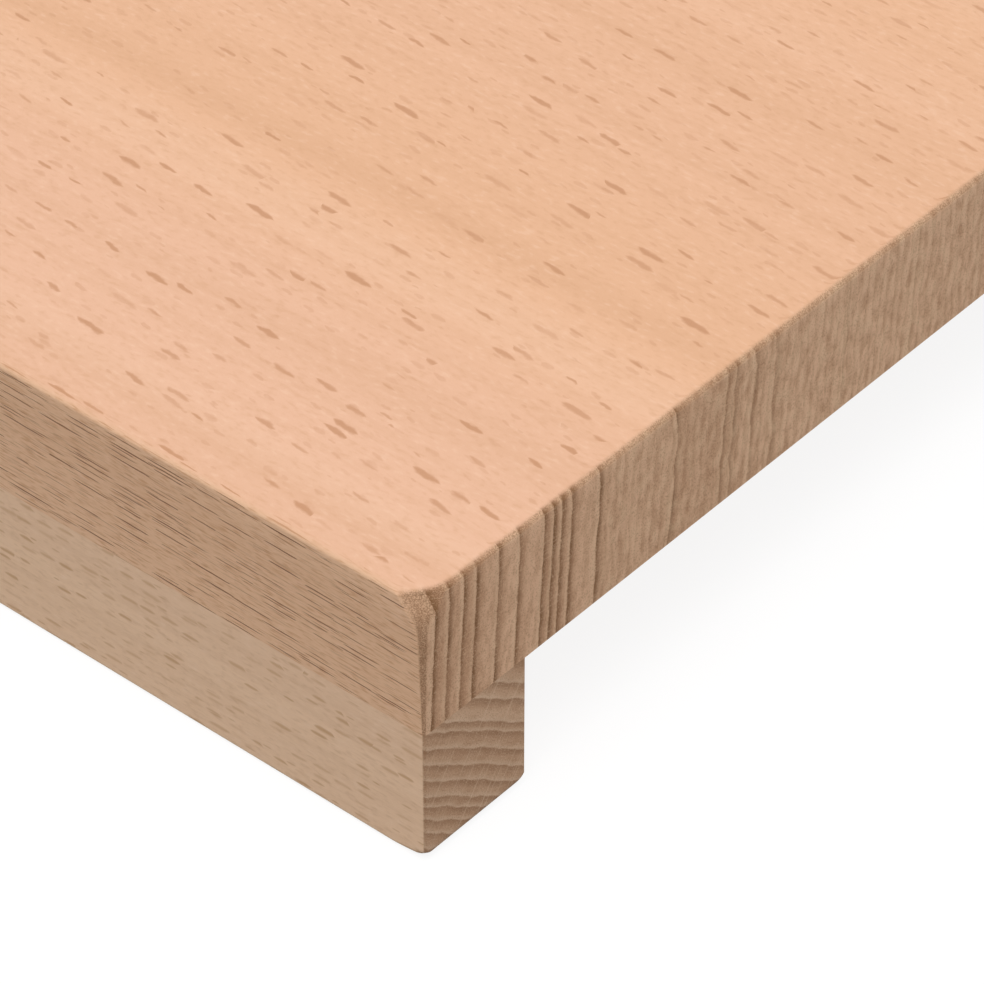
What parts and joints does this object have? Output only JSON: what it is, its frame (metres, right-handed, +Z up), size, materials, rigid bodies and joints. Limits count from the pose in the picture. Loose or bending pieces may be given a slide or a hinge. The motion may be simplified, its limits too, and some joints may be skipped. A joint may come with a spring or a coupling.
{
  "type": "window sill board",
  "caption": "Solid beech window sill board: a flat slab with rounded top edges and corners, and a strip glued flush under its front edge that makes the front look thicker.",
  "frame": {"origin": "middle of the footprint, level with the underside of the strip", "axes": "+X along the board, +Y towards the square back edge at the window, +Z up out of the top face"},
  "size_m": [1, 0.25, 0.04],
  "materials": {
    "board_beech": "sanded and oiled",
    "strip_beech": "sanded and oiled"
  },
  "bodies": {
    "root": {"sill_board": "board_beech", "front_strip": "strip_beech"}
  },
  "joints": []
}
